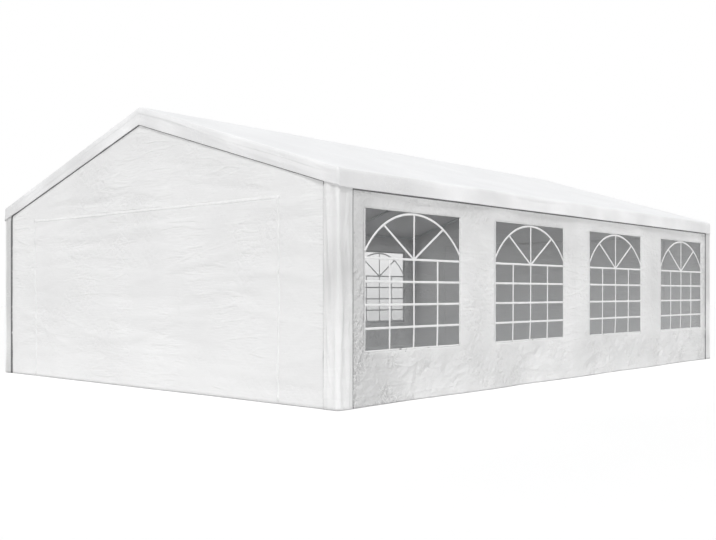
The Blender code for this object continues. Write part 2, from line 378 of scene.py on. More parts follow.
def sheet_group():
    """The surface of coated sheeting from its flat coordinates, in metres.

    Height adds up short level streaks in patches, long level crease lines (where a noise
    crosses one half), flat facets in crowds (the distance to the edges of large and small
    cells) and the square grid of reinforcing threads. Wear is a slow cloud for colour and
    gloss. Creased is 1 on broken lengths of the small facets' edges, for painted highlights.
    """
    tree = bpy.data.node_groups.new("sheet_surface", "ShaderNodeTree")
    face = tree.interface
    face.new_socket("Vector", in_out="INPUT", socket_type="NodeSocketVector")
    for name in ("Streaks", "Lines", "Facets", "Threads"):
        face.new_socket(name, in_out="INPUT", socket_type="NodeSocketFloat")
    for name in ("Height", "Wear", "Creased"):
        face.new_socket(name, in_out="OUTPUT", socket_type="NodeSocketFloat")
    given = tree.nodes.new("NodeGroupInput").outputs
    where = given["Vector"]
    clouds = noise(tree, where, scale=1.4)
    patches = remap(tree, clouds, 0.38, 0.62, curve="SMOOTHSTEP")

    streaks = noise(tree, drawn_out(tree, where, (9.0, 58.0, 1.0)), scale=1.0, detail=3.0)
    streak_share = add_math(tree, "MULTIPLY_ADD", patches, 0.8, 0.35)
    streaks = add_math(tree, "MULTIPLY", streaks, streak_share)

    folds = noise(tree, drawn_out(tree, where, (1.2, 6.0, 1.0)), scale=1.0)
    from_line = add_math(tree, "ABSOLUTE", add_math(tree, "SUBTRACT", folds, 0.5))
    lines = remap(tree, from_line, 0.0, 0.07, 1.0, 0.0, curve="SMOOTHERSTEP")
    lines = add_math(tree, "MULTIPLY", lines, patches)

    crowds = noise(tree, where, scale=2.4, detail=4.0)
    crowded = remap(tree, crowds, 0.42, 0.62, curve="SMOOTHSTEP")
    wobble = noise(tree, where, scale=5.0, output="Color")
    bent = add_node(
        tree,
        "ShaderNodeVectorMath",
        {0: wobble, 1: (0.08, 0.08, 0.0), 2: where},
        operation="MULTIPLY_ADD",
    )
    large_cells, small_cells = (
        add_node(
            tree,
            "ShaderNodeTexVoronoi",
            {"Vector": bent.outputs["Vector"], "Scale": scale},
            voronoi_dimensions="2D",
            feature="DISTANCE_TO_EDGE",
        ).outputs["Distance"]
        for scale in (11.0, 27.0)
    )
    small_facets = add_math(tree, "MULTIPLY", small_cells, 0.3)
    facets = add_math(tree, "MULTIPLY_ADD", large_cells, 0.7, small_facets)
    facet_share = add_math(tree, "MULTIPLY_ADD", crowded, 0.8, 0.2)
    facets = add_math(tree, "MULTIPLY", facets, facet_share)

    ribs = [
        add_math(tree, "POWER", add_math(tree, "MULTIPLY_ADD", wave, 0.5, 0.5), 6.0)
        for wave in waves_along(tree, where, "XY", THREAD_PITCH)
    ]
    threads = add_math(tree, "MAXIMUM", *ribs)

    height = add_math(tree, "MULTIPLY", lines, given["Lines"])
    for layer, name in ((streaks, "Streaks"), (facets, "Facets"), (threads, "Threads")):
        height = add_math(tree, "MULTIPLY_ADD", layer, given[name], height)

    near_edge = remap(tree, small_cells, 0.0, 0.15, 1.0, 0.0, curve="SMOOTHSTEP")
    unbroken = remap(tree, noise(tree, where, scale=24.0), 0.44, 0.58, curve="SMOOTHSTEP")
    creased = add_math(tree, "MULTIPLY", add_math(tree, "MULTIPLY", near_edge, crowded), unbroken)
    add_node(tree, "NodeGroupOutput", {"Height": height, "Wear": clouds, "Creased": creased})
    return tree


sheet_surface = sheet_group()


def sheeting(name, tone, patchy, streaks, lines, facets, glow, gloss, shine=0.3, crease_highlight=1.3):
    """White coated sheeting: satin, creased, and letting a little light through.

    Streaks, lines and facets are heights, patchy is how much darker the clouds and the painted
    shade make it, glow the share of light let through, gloss the roughness and shine the
    strength of its reflections. Where the mesh marks it fully slack the facets are four times
    as high, and the sheet is greyed with painted shade, with painted highlights on its folds.
    """
    material, tree = new_material(name)
    where = add_node(tree, "ShaderNodeUVMap", uv_map="sheet").outputs["UV"]
    crumple_and_shade = add_node(tree, "ShaderNodeAttribute", attribute_name="crumple_and_shade").outputs["Fac"]
    heights = {
        "Streaks": streaks,
        "Lines": lines,
        "Facets": add_math(tree, "MULTIPLY_ADD", crumple_and_shade, 3.0 * facets, facets),
        "Threads": THREAD_HEIGHT,
    }
    skin = add_node(
        tree, "ShaderNodeGroup", {"Vector": where, **heights}, node_tree=sheet_surface
    ).outputs
    # Painted shade greys the sheet where it is slack, and painted highlights lighten its crease
    # edges there.
    shade_and_highlight = add_math(tree, "MULTIPLY_ADD", skin["Creased"], crease_highlight, -0.45)
    wear_shade_and_highlight = add_math(tree, "MULTIPLY_ADD", shade_and_highlight, crumple_and_shade, skin["Wear"])
    darkest = [(1.0 - patchy) * part for part in tone]
    whitest = [min(0.98, (1.0 + 0.5 * patchy) * part) for part in tone]
    colour = ramp(tree, wear_shade_and_highlight, ((0.1, darkest), (0.6, tone), (1.0, whitest)))
    normal = raised(tree, skin["Height"])
    coating = {
        "Base Color": colour,
        "Roughness": remap(tree, skin["Wear"], 0.0, 1.0, gloss - 0.06, gloss + 0.08),
        "Normal": normal,
        "Specular IOR Level": shine,
    }
    coated = add_shader(tree, "Principled", coating)
    through = add_shader(tree, "Translucent", {"Color": colour, "Normal": normal})
    show(tree, coated, through, glow)
    return material


def new_piece(name, points, faces, material, layout=None):
    """A smooth mesh object from points and faces.

    Each point's layout, if given, is its flat place in metres and how slack it is there, which also
    sets its painted shade.
    """
    mesh = bpy.data.meshes.new(name)
    mesh.from_pydata(points.reshape(-1, 3).tolist(), [], faces)
    if layout is not None:
        layout = layout.reshape(-1, 3).astype(np.float32)
        loops = np.zeros(len(mesh.loops), dtype=np.int32)
        mesh.loops.foreach_get("vertex_index", loops)
        layer = mesh.uv_layers.new(name="sheet")
        layer.data.foreach_set("uv", layout[loops, :2].ravel())
        share = mesh.attributes.new("crumple_and_shade", "FLOAT", "POINT")
        share.data.foreach_set("value", layout[:, 2].copy())
    mesh.shade_smooth()
    mesh.materials.append(material)
    piece = bpy.data.objects.new(name, mesh)
    bpy.context.scene.collection.objects.link(piece)
    return piece


def thicken(piece, thickness):
    """Give a surface its thickness on the side away from its faces' outer side."""
    solid = piece.modifiers.new("thickness", "SOLIDIFY")
    solid.thickness = thickness
    solid.offset = -1.0


def quads(rows, columns):
    """Faces of a grid of points kept row by row, facing along column x row."""
    index = np.arange(rows * columns).reshape(rows, columns)
    corners = (index[:-1, :-1], index[:-1, 1:], index[1:, 1:], index[1:, :-1])
    return np.stack(corners, axis=-1)


def roof_height(x, y):
    """Height of the cover's top: the pitch, rounded at the ridge, less the sag.

    Between frames it sags as 4t(1-t), most at half slope. Creases and slow waves are
    added, and everything but the pitch fades out over the tubes that carry it.
    """
    pitch = RIDGE_Z - SLOPE * (np.sqrt(x**2 + RIDGE_ROUND**2) - 0.5 * RIDGE_ROUND)
    bay, to_frame = in_bay(y)
    sag = SAG * 4.0 * bay * (1.0 - bay) * np.sin(math.pi * np.abs(x) / HALF_WIDTH) ** 0.8
    free = loosened(to_frame, reach=0.10) * loosened(x, reach=0.12)
    free = free * loosened(HALF_WIDTH - TUBE_INSET - np.abs(x), reach=0.10)
    area = (-HALF_WIDTH, HALF_WIDTH, -HALF_LENGTH, HALF_LENGTH)
    loose = creases(x, y, area, seed=11, **ROOF_CREASES)
    loose = loose + ripples(x, y, seed=12, count=5, length=1.1, height=0.0055)
    return pitch - sag + free * loose


def skirt_plan(index):
    """The point of the top that each column of the skirt hangs from, its direction, and
    how much of it belongs to a rake.

    Columns run anticlockwise from the front left corner. At a corner a fan of them turns
    a quarter circle, whose sine and cosine are square-rooted to keep the corner square.
    """
    edges = (index[0], index[:, -1], index[-1, ::-1], index[::-1, 0])
    quarter = np.arange(1, CORNER_FAN) / CORNER_FAN * math.pi / 2.0
    base = []
    aim = []
    rake = []
    for side, edge in enumerate(edges):
        outward = side * math.pi / 2.0 - math.pi / 2.0
        bend = np.concatenate((np.zeros(len(edge)), quarter))
        squared = np.sqrt(np.stack((np.cos(bend), np.sin(bend)), axis=-1))
        ahead = (math.cos(outward), math.sin(outward))
        aside = (-math.sin(outward), math.cos(outward))
        base.append(np.concatenate((edge, np.full(CORNER_FAN - 1, edge[-1]))))
        aim.append(squared @ np.array((ahead, aside)))
        on_rake = 1.0 - side % 2
        rake.append(on_rake + (1.0 - 2.0 * on_rake) * smooth_step(0.0, math.pi / 2.0, bend))
    return np.concatenate(base), np.concatenate(aim), np.concatenate(rake)


def skirt_rows(start, aim, rake, to_corner):
    """Points of the skirt, row by row, from the roll over the tube down to the hem.

    A column first rolls over the tube on a rational quadratic curve, whose middle control
    point is the sharp corner. Then it hangs straight and swings out at the hem in long
    and short waves, with creases, and with a weld and the tube showing along the rakes.
    """

    def points(out, z):
        return np.stack((start[:, 0] + aim[:, 0] * out, start[:, 1] + aim[:, 1] * out, z))

    step = np.linalg.norm(np.diff(start[:, :2], axis=0, prepend=start[-1:, :2]), axis=1)
    along = np.cumsum(step)
    still = np.zeros_like(along)
    free = smooth_step(0.0, CORNER_CALM, to_corner)
    uneven = ripples(along, still, seed=21, count=6, length=1.2, height=ROLL_DROP_SWING)
    drop = ROLL_DROP + free * uneven
    corner_z = start[:, 2] - (1.0 - rake) * SLOPE * ROLL
    fold_z = corner_z - drop
    rows = []
    for share in np.arange(1, ROLL_ROWS + 1) / ROLL_ROWS:
        weights = np.array(
            ((1.0 - share) ** 2, 2.0 * ROLL_WEIGHT * share * (1.0 - share), share**2)
        )
        weights = weights / weights.sum()
        z = weights[0] * start[:, 2] + weights[1] * corner_z + weights[2] * fold_z
        rows.append(points(ROLL * (weights[1] + weights[2]), z))

    rake_hem = APEX_HEM_Z - RAKE_HEM_FALL * np.sqrt(start[:, 0] ** 2 + APEX_HEM_ROUND**2)
    hem_z = rake * rake_hem + (1.0 - rake) * VALANCE_Z
    swing = ripples(along, still, seed=22, count=5, length=1.3, height=0.0045)
    swing = swing + ripples(along, still, seed=23, count=5, length=0.42, height=0.0022)
    swing = (HEM_OUT + free * swing) * (1.0 - 0.6 * rake * free) - RAKE_TUCK * rake * free**2
    area = (0.0, along[-1], 0.0, 0.2)
    for share in VALANCE_ROWS:
        z = fold_z + share * (hem_z - fold_z)
        short = creases(along, fold_z - z, area, seed=23, **VALANCE_SHORT)
        long = creases(along, fold_z - z, area, seed=24, **VALANCE_LONG)
        seam = WELD_HEIGHT * math.exp(-(((share - WELD_ROW) / 0.02) ** 2))
        seam = seam + TUBE_HEIGHT * math.exp(-(((share - TUBE_ROW) / 0.05) ** 2))
        raised_by = short + (0.3 + 0.7 * rake) * long + rake * seam
        hem = HEM_HEIGHT * float(share > HEM_ROW)
        rows.append(points(ROLL + swing * share**1.3 + free * raised_by + hem, z))
    return np.stack(rows).transpose(0, 2, 1)


def skirt_crumple_and_shade(x, rake, to_corner):
    """How crumpled the skirt is, and how much painted shade greys it: the rakes all along, more
    towards the left, which is away from the key light, and the eaves only by the corners."""
    # The rise towards the left is painted shade as well as crumpling.
    rake_crumple_and_shade = 0.44 + 0.46 * smooth_step(1.6, 2.9, -x)
    return np.maximum(rake_crumple_and_shade * rake, 0.62 * np.exp(-((to_corner / 0.9) ** 2)))


def build_roof_cover(material, valance_material):
    """A grid over the two slopes, and a skirt of columns from its edge down to the hem.

    The valance's material starts half-way down the roll.
    """
    edge_x = HALF_WIDTH - ROLL
    edge_y = HALF_LENGTH - ROLL
    x_lines = np.linspace(-edge_x, edge_x, 2 * round(edge_x / ROOF_STEP) + 1)
    x_lines = np.sort(np.append(x_lines, (-RIDGE_FOLD, RIDGE_FOLD)))
    y_lines = np.linspace(-edge_y, edge_y, 2 * round(edge_y / ROOF_STEP) + 1)
    x, y = np.meshgrid(x_lines, y_lines)
    top = np.stack((x, y, roof_height(x, y)), axis=-1)
    base, aim, rake = skirt_plan(np.arange(x.size).reshape(x.shape))
    start = top.reshape(-1, 3)[base]
    to_corner = np.hypot(edge_x - np.abs(start[:, 0]), edge_y - np.abs(start[:, 1]))
    skirt = skirt_rows(start, aim, rake, to_corner)
    points = np.concatenate((top.reshape(-1, 3), skirt.reshape(-1, 3)))

    row_count, column_count = skirt.shape[:2]
    skirt_index = x.size + np.arange(row_count * column_count).reshape(row_count, -1)
    columns = np.vstack((base, skirt_index))
    following = np.roll(columns, -1, axis=1)
    strips = np.stack((columns[:-1], columns[1:], following[1:], following[:-1]), axis=-1)
    rows = np.arange(row_count)[:, None]
    fan = (columns[0] == following[0])[None, :] & (rows == 0)
    top_faces = quads(*x.shape).reshape(-1, 4)
    faces = top_faces.tolist() + strips[~fan].tolist() + strips[fan][:, :3].tolist()

    fall = np.linalg.norm(np.diff(skirt, axis=0, prepend=start[None]), axis=2)
    skirt_flat = start[None, :, :2] + aim[None] * np.cumsum(fall, axis=0)[..., None]
    flat = np.concatenate((top[..., :2].reshape(-1, 2), skirt_flat.reshape(-1, 2)))
    crumple_and_shade = np.tile(skirt_crumple_and_shade(start[:, 0], rake, to_corner), row_count)
    crumple_and_shade = np.concatenate((np.zeros(x.size), crumple_and_shade))
    layout = np.column_stack((flat, crumple_and_shade))
    cover = new_piece("roof_cover_sheet", points, faces, material, layout)
    cover.data.materials.append(valance_material)
    hanging = np.broadcast_to(rows, fan.shape)[~fan] >= ROLL_ROWS // 2
    slots = np.zeros(len(faces), dtype=np.int32)
    slots[len(top_faces) : len(top_faces) + len(hanging)] = hanging
    cover.data.polygons.foreach_set("material_index", slots)
    thicken(cover, SHEET_T)
    return cover


roof_material = sheeting(
    "roof_sheeting",
    (0.935, 0.94, 0.95),
    patchy=0.04,
    streaks=0.0014,
    lines=0.0016,
    facets=0.0014,
    glow=0.09,
    gloss=0.50,
    shine=0.12,
)
valance_material = sheeting(
    "valance_sheeting",
    (0.945, 0.945, 0.95),
    patchy=0.22,
    streaks=0.0016,
    lines=0.0014,
    facets=0.0016,
    glow=0.06,
    gloss=0.36,
    crease_highlight=0.4,
)
roof_cover = build_roof_cover(roof_material, valance_material)
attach(roof_cover, "root")
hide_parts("roof_cover")


# Side walls.
# Each is one sheet as long as the tent, hung from the eave tube inside the valance and
# cut out for four windows. It is tied at every leg, so it sags inwards between legs, and
# its loose skirt below the windows is the most crumpled part.

SIDES = ((-1, "left"), (1, "right"))
WALL_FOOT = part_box("right_side_wall")[0].z
WALL_FACE, WALL_HALF, WALL_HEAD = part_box("right_side_wall")[1]
window_low, window_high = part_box("right_window_1")
FILM_LAP = 0.03
SILL_Z = window_low.z + FILM_LAP
HEAD_Z = window_high.z - FILM_LAP
WINDOW_HALF = (window_high.y - window_low.y) / 2.0 - FILM_LAP
WINDOW_YS = [BAY * step for step in (-1.5, -0.5, 0.5, 1.5)]
HEM = 0.03
WALL_STEP = 0.025
SKIRT_STEP = 0.016
SIDE_PATTERN = 9.0
WALL_BROAD = dict(count=130, length=0.34, width=0.05, height=0.0110, lean=0.3, spread=0.7)
WALL_FINE = dict(count=380, length=0.13, width=0.024, height=0.0110, lean=0.7, spread=0.7)


def grid_lines(knots, step):
    """Places from the first knot to the last, about a step apart, with one on each knot."""
    spans = [
        np.linspace(low, high, max(1, round((high - low) / step)) + 1)[1:]
        for low, high in zip(knots, knots[1:])
    ]
    return np.concatenate([knots[:1], *spans])


def window_inset(y, z):
    """Distance inside the edge of a bay's window, below 0 outside the window."""
    middle = BAY * (np.floor(y / BAY) + 0.5)
    return np.minimum(WINDOW_HALF - np.abs(y - middle), np.minimum(z - SILL_Z, HEAD_Z - z))


def side_face(y, z, side):
    """Distance of a side wall's outer face from the tent's middle plane.

    It is the wall's plane, less a sag of sin squared across each bay, with creases that
    are strongest in the skirt and weak at the windows, whose film is flatter. All fade
    out where a leg or the eave tube holds the wall.
    """
    bay, to_leg = in_bay(y)
    free = loosened(to_leg, reach=0.16) * smooth_step(0.0, 0.25, WALL_HALF - np.abs(y))
    free = free * (1.0 - smooth_step(1.80, 2.0, z))
    skirt = 1.0 - smooth_step(SILL_Z - 0.10, SILL_Z + 0.25, z)
    crumpled = 1.0 - 0.75 * smooth_step(-0.06, 0.06, window_inset(y, z))
    waves = ripples(y, z, seed=31 + side, count=4, length=2.6, height=0.004)
    sag = (0.012 + 0.012 * skirt + waves) * np.sin(math.pi * bay) ** 2
    area = (-WALL_HALF, WALL_HALF, WALL_FOOT, WALL_HEAD)
    broad = creases(y, z, area, seed=33 + side, **WALL_BROAD)
    low_area = (-WALL_HALF, WALL_HALF, WALL_FOOT, SILL_Z)
    fine = creases(y, z, low_area, seed=36 + side, **WALL_FINE)
    loose = skirt * fine + crumpled * (0.45 + 0.8 * skirt) * broad
    return WALL_FACE + free * (loose - sag)


def side_crumple_and_shade(y, z):
    """How crumpled a side wall is, with its painted shade: most in the skirt by the corners, some
    at each leg.

    The front end is more crumpled, with more painted shade, than the rear end.
    """
    to_end = WALL_HALF - np.abs(y)
    to_leg = in_bay(y)[1]
    # The front half counts double, for more crumples and more painted shade.
    front_crumple_and_shade = np.where(y < 0.0, 1.0, 0.5)
    skirt = 1.0 - smooth_step(SILL_Z - 0.12, SILL_Z + 0.04, z)
    low_part = skirt * (0.18 + 0.82 * front_crumple_and_shade * (1.0 - smooth_step(0.3, 1.6, to_end)))
    end_strip = 0.9 * front_crumple_and_shade * (1.0 - smooth_step(0.25, 0.55, to_end)) * (1.0 - skirt)
    at_leg = np.exp(-((to_leg / 0.20) ** 2) - ((z - 1.0) / 0.5) ** 2) * (1.0 - skirt)
    return np.minimum(low_part + end_strip + 0.30 * front_crumple_and_shade * at_leg, 1.0)


def cell_middles(u, v):
    """The middles of a grid's cells."""
    return (u[:-1, :-1] + u[:-1, 1:]) / 2.0, (v[:-1, :-1] + v[1:, :-1]) / 2.0


def grid_sheet(name, points, layout, turn, material, thickness=SHEET_T, keep=None):
    """A sheet made of a grid's faces, or of the kept ones and the points that they use.

    Turn is 1 if its outer side faces along column x row, and -1 if it faces against it.
    """
    faces = quads(*points.shape[:2])
    faces = faces.reshape(-1, 4) if keep is None else faces[keep]
    used, renumbered = np.unique(faces[:, ::turn], return_inverse=True)
    points = points.reshape(-1, 3)[used]
    layout = layout.reshape(-1, 3)[used]
    sheet = new_piece(name, points, renumbered.reshape(-1, 4).tolist(), material, layout)
    thicken(sheet, thickness)
    return sheet


def build_side_wall(name, side, material):
    """A grid along Y and Z with its lines on the windows' edges, less the openings."""
    y_knots = [-WALL_HALF]
    for middle in WINDOW_YS:
        y_knots = y_knots + [middle - WINDOW_HALF, middle + WINDOW_HALF]
    y_lines = grid_lines(y_knots + [WALL_HALF], WALL_STEP)
    low_lines = grid_lines([WALL_FOOT, WALL_FOOT + HEM, SILL_Z], SKIRT_STEP)
    high_lines = grid_lines([SILL_Z, HEAD_Z, WALL_HEAD], WALL_STEP)
    y, z = np.meshgrid(y_lines, np.concatenate((low_lines, high_lines[1:])))
    points = np.stack((side * side_face(y, z, side), y, z), axis=-1)
    y_middle, z_middle = cell_middles(y, z)
    across = np.abs(y_middle[..., None] - np.array(WINDOW_YS)).min(-1)
    opening = (across < WINDOW_HALF) & (z_middle > SILL_Z) & (z_middle < HEAD_Z)
    layout = np.stack((y + SIDE_PATTERN * side, z, side_crumple_and_shade(y, z)), axis=-1)
    return grid_sheet(name, points, layout, side, material, keep=~opening)


wall_material = sheeting(
    "wall_sheeting",
    (0.955, 0.955, 0.955),
    patchy=0.20,
    streaks=0.0040,
    lines=0.0030,
    facets=0.0150,
    glow=0.20,
    gloss=0.32,
)
for side, word in SIDES:
    side_wall = build_side_wall(f"{word}_side_wall_sheet", side, wall_material)
    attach(side_wall, "root")
    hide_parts(f"{word}_side_wall")


# Windows.
# Clear flexible film welded behind each opening. The glazing bars are white tapes on its
# outer face: four rows of four panes, the topmost bar a transom with a fan and an arch
# over it.

FILM_T = 0.0008
FILM_GAP = 0.0004
FILM_HOLLOW = 0.0015
BAR_WIDTH = 0.022
BAR_HEIGHT = 0.0012
ROW_HEIGHT = 1.3 * BAR_HEIGHT
ARCH_HEIGHT = 1.6 * BAR_HEIGHT
BORDER_WIDTH = 0.016
TAPE_CREST = 0.42
TAPE_SINK = 0.0002
BAR_STEP = 0.04
TRANSOM_Z = 1.32
ROW_ZS = (0.69, 0.90, 1.11)
ARCH_RADIUS = 0.82
ARCH_MIDDLE_Z = 0.925
SPOKE_REACH = 0.428
DUST_RISE = 1.12
WEAVE_PITCH = 0.002


def film_face(y, z, side):
    """The film lies against the inside of the wall, with shallow waves of its own."""
    waves = ripples(y, z, seed=41 + side, count=6, length=0.7, height=0.0008)
    loose = smooth_step(0.0, 0.15, window_inset(y, z)) * (waves - FILM_HOLLOW)
    return side_face(y, z, side) - SHEET_T - FILM_GAP + loose


def build_film(name, side, middle, material):
    """A grid over the opening and its lap, on the film's face."""
    half = WINDOW_HALF + FILM_LAP
    y_lines = grid_lines([middle - half, middle + half], BAR_STEP)
    z_lines = grid_lines([SILL_Z - FILM_LAP, HEAD_Z + FILM_LAP], BAR_STEP)
    y, z = np.meshgrid(y_lines, z_lines)
    points = np.stack((side * film_face(y, z, side), y, z), axis=-1)
    layout = np.stack((y, z, np.zeros_like(y)), axis=-1)
    return grid_sheet(name, points, layout, side, material, FILM_T)


def straight(start, end):
    """Places on a straight line, about a step apart."""
    start = np.array(start)
    end = np.array(end)
    count = max(2, round(np.linalg.norm(end - start) / BAR_STEP) + 1)
    share = np.linspace(0.0, 1.0, count)[:, None]
    return start + share * (end - start)


def arc(middle, radius, from_angle, to_angle):
    """Places on a circle between two angles, about a step apart."""
    count = max(3, round(abs(to_angle - from_angle) * radius / BAR_STEP) + 1)
    angle = np.linspace(from_angle, to_angle, count)
    ring = np.stack((np.cos(angle), np.sin(angle)), axis=-1)
    return np.array(middle) + radius * ring


def over_side(face, side):
    """The function that turns places on a side's face, and heights over it, into points."""

    def place(y, z, lift):
        return np.stack((side * (face(y, z, side) + lift), y, z), axis=-1)

    return place


def tape(path, width, height, place):
    """A flat strip on a sheet: a six-sided section carried along a path on the sheet.

    Place turns places on the sheet and heights above it into points. The strip's points
    and faces are returned, closed at both ends.
    """
    run = np.gradient(path, axis=0)
    run = run / np.linalg.norm(run, axis=1, keepdims=True)
    across = np.stack((run[:, 1], -run[:, 0]), axis=-1)
    offsets = width * np.array((-0.5, -TAPE_CREST, TAPE_CREST, 0.5, TAPE_CREST, -TAPE_CREST))
    lifts = np.array((0.0, height, height, 0.0, -TAPE_SINK, -TAPE_SINK))
    spots = path[:, None, :] + offsets[None, :, None] * across[:, None, :]
    points = place(spots[..., 0], spots[..., 1], np.broadcast_to(lifts, spots.shape[:2]))
    count, section = spots.shape[:2]
    index = np.arange(count * section).reshape(count, section)
    nearby = np.roll(index, -1, axis=1)
    sides = np.stack((index[:-1], nearby[:-1], nearby[1:], index[1:]), axis=-1)
    faces = sides.reshape(-1, 4).tolist()
    return points.reshape(-1, 3), faces + [index[0, ::-1].tolist(), index[-1].tolist()]


def join_strips(name, strips, material, flip):
    """One mesh object from several strips, each still a closed body."""
    points = np.concatenate([strip[0] for strip in strips])
    faces = []
    count = 0
    for strip_points, strip_faces in strips:
        for face in strip_faces:
            moved = [corner + count for corner in face]
            faces.append(moved[::-1] if flip else moved)
        count = count + len(strip_points)
    return new_piece(name, points, faces, material)


def build_bars(name, side, middle, material):
    """Uprights, spokes, rows, the arch, and a narrow border on three edges."""
    place = over_side(film_face, side)
    left = middle - WINDOW_HALF
    right = middle + WINDOW_HALF
    arch_end = math.acos(WINDOW_HALF / ARCH_RADIUS)
    spoke_z = ARCH_MIDDLE_Z + math.sqrt(ARCH_RADIUS**2 - SPOKE_REACH**2)
    apex_z = ARCH_MIDDLE_Z + ARCH_RADIUS
    uprights = [
        straight((middle + share * WINDOW_HALF, SILL_Z), (middle + share * WINDOW_HALF, top_z))
        for share, top_z in ((-0.5, TRANSOM_Z), (0.0, apex_z), (0.5, TRANSOM_Z))
    ]
    spokes = [
        straight((middle, TRANSOM_Z), (middle + turn * SPOKE_REACH, spoke_z))
        for turn in (-1, 1)
    ]
    rows = [straight((left, z), (right, z)) for z in (*ROW_ZS, TRANSOM_Z)]
    arch = arc((middle, ARCH_MIDDLE_Z), ARCH_RADIUS, arch_end, math.pi - arch_end)
    inset = BORDER_WIDTH / 2.0
    borders = [
        straight((left + inset, SILL_Z), (left + inset, HEAD_Z)),
        straight((right - inset, SILL_Z), (right - inset, HEAD_Z)),
        straight((left, SILL_Z + inset), (right, SILL_Z + inset)),
    ]
    strips = [tape(path, BAR_WIDTH, BAR_HEIGHT, place) for path in (*uprights, *spokes)]
    strips = strips + [tape(path, BAR_WIDTH, ROW_HEIGHT, place) for path in rows]
    strips.append(tape(arch, BAR_WIDTH, ARCH_HEIGHT, place))
    strips = strips + [tape(path, BORDER_WIDTH, BAR_HEIGHT, place) for path in borders]
    return join_strips(name, strips, material, side < 0)


def window_film():
    """Clear film with a grey haze and a soft gloss.

    The haze grows with the cube of the slant, and with the dust towards the sill. For all
    rays but the camera's it is at least a tenth, as from the film's fine creases.
    """
    material, tree = new_material("window_film")
    where = add_node(tree, "ShaderNodeUVMap", uv_map="sheet").outputs["UV"]
    dust = noise(tree, where, scale=6.0, detail=5.0)
    plastic = {
        "Base Color": (0.62, 0.63, 0.64, 1.0),
        "Roughness": remap(tree, dust, 0.0, 1.0, 0.06, 0.22),
        "Normal": raised(tree, add_math(tree, "MULTIPLY", dust, 0.0006)),
    }
    clear = add_shader(tree, "Transparent", {"Color": (0.97, 0.97, 0.97, 1.0)})
    looked_at = add_node(tree, "ShaderNodeLightPath").outputs["Is Camera Ray"]
    slant = add_node(tree, "ShaderNodeLayerWeight", {"Blend": 0.5}).outputs["Facing"]
    level = add_node(tree, "ShaderNodeSeparateXYZ", {"Vector": where}).outputs["Y"]
    settled = remap(tree, level, SILL_Z, SILL_Z + DUST_RISE, 0.19, 0.02)
    slant_share = add_math(tree, "POWER", slant, 3.0)
    haze = add_math(tree, "MULTIPLY_ADD", slant_share, 0.6, settled)
    blocked = add_math(tree, "MULTIPLY_ADD", looked_at, -0.10, 0.10)
    haze = add_math(tree, "MAXIMUM", haze, blocked)
    show(tree, clear, add_shader(tree, "Principled", plastic), haze)
    return material


def tape_material(name, tone, gloss, weave_height):
    """Woven tape: ribs 2 mm apart along each axis, with uneven dye. It also makes the dark strips
    of painted shadow.
    """
    material, tree = new_material(name)
    where = add_node(tree, "ShaderNodeTexCoord").outputs["Object"]
    ribs = waves_along(tree, where, "XYZ", WEAVE_PITCH)
    weave = add_math(tree, "ADD", add_math(tree, "ADD", ribs[0], ribs[1]), ribs[2])
    clouds = noise(tree, where, scale=14.0, detail=4.0)
    faded = [0.9 * part for part in tone]
    cloth = {
        "Base Color": ramp(tree, clouds, ((0.3, faded), (0.7, tone))),
        "Roughness": gloss,
        "Normal": raised(tree, add_math(tree, "MULTIPLY", weave, weave_height)),
    }
    show(tree, add_shader(tree, "Principled", cloth))
    return material


film_material = window_film()
bar_material = tape_material("window_bars", (0.86, 0.86, 0.86), gloss=0.5, weave_height=0.00002)
for side, word in SIDES:
    for number, middle in enumerate(WINDOW_YS, start=1):
        name = f"{word}_window_{number}"
        bars = build_bars(f"{name}_bars", side, middle, bar_material)
        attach(bars, "root")
        film = build_film(f"{name}_film", side, middle, film_material)
        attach(film, "root")
        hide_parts(name)


# Gable walls.
# Each is a five-sided sheet hung from the end rafters inside the valance, with a doorway
# that the zipped curtain below closes. It is tied at the corner legs and pulls into long
# flat creases that run mostly sideways.

ENDS = ((-1, "front"), (1, "rear"))
GABLE_HALF, GABLE_FACE, GABLE_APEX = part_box("rear_gable_wall")[1]
GABLE_LONG = dict(count=120, length=0.9, width=0.045, height=0.0110, lean=0.03, spread=0.12)
GABLE_SHORT = dict(count=240, length=0.24, width=0.028, height=0.0050, lean=0.15, spread=0.6)
DOOR_HALF = 2.22
DOOR_HEAD = 1.88
DOOR_GAP = 0.0003
RAFTER_ROWS = 40
CRUMPLES = 12
GABLE_PATTERN = 20.0
GABLE_PATTERN_STEP = 7.0


def gable_face(x, z, end):
    """Distance of a gable's outer face from the tent's middle.

    The plane, plus slow waves and two layers of creases, long ones nearly level and
    short ones anyhow. They fade at the corner legs, under the rafters and at the hem.
    """
    under_roof = GABLE_APEX - SLOPE * np.abs(x) - z
    free = smooth_step(0.0, 0.40, GABLE_HALF - 0.02 - np.abs(x))
    free = free * smooth_step(0.14, 0.50, under_roof)
    free = free * (0.35 + 0.65 * smooth_step(0.0, 0.5, z))
    area = (-GABLE_HALF, GABLE_HALF, WALL_FOOT, GABLE_APEX)
    slow = ripples(x, 1.8 * z, seed=51 + end, count=5, length=2.4, height=0.010)
    long = creases(x, z, area, seed=53 + end, **GABLE_LONG)
    short = creases(x, z, area, seed=56 + end, **GABLE_SHORT)
    return GABLE_FACE + free * (slow + long + short)


def gable_crumple_and_shade(x, z, end):
    """How crumpled a gable is, with its painted shade: a little in a dozen scattered round patches.
    """
    rng = np.random.default_rng(58 + end)
    x_middle = rng.uniform(-GABLE_HALF, GABLE_HALF, CRUMPLES)
    z_middle = rng.uniform(WALL_FOOT, GABLE_APEX, CRUMPLES)
    radius = rng.uniform(0.2, 0.5, CRUMPLES)
    away = np.hypot(x[..., None] - x_middle, z[..., None] - z_middle)
    return 0.5 * np.minimum(np.exp(-((away / radius) ** 2)).sum(-1), 1.0)


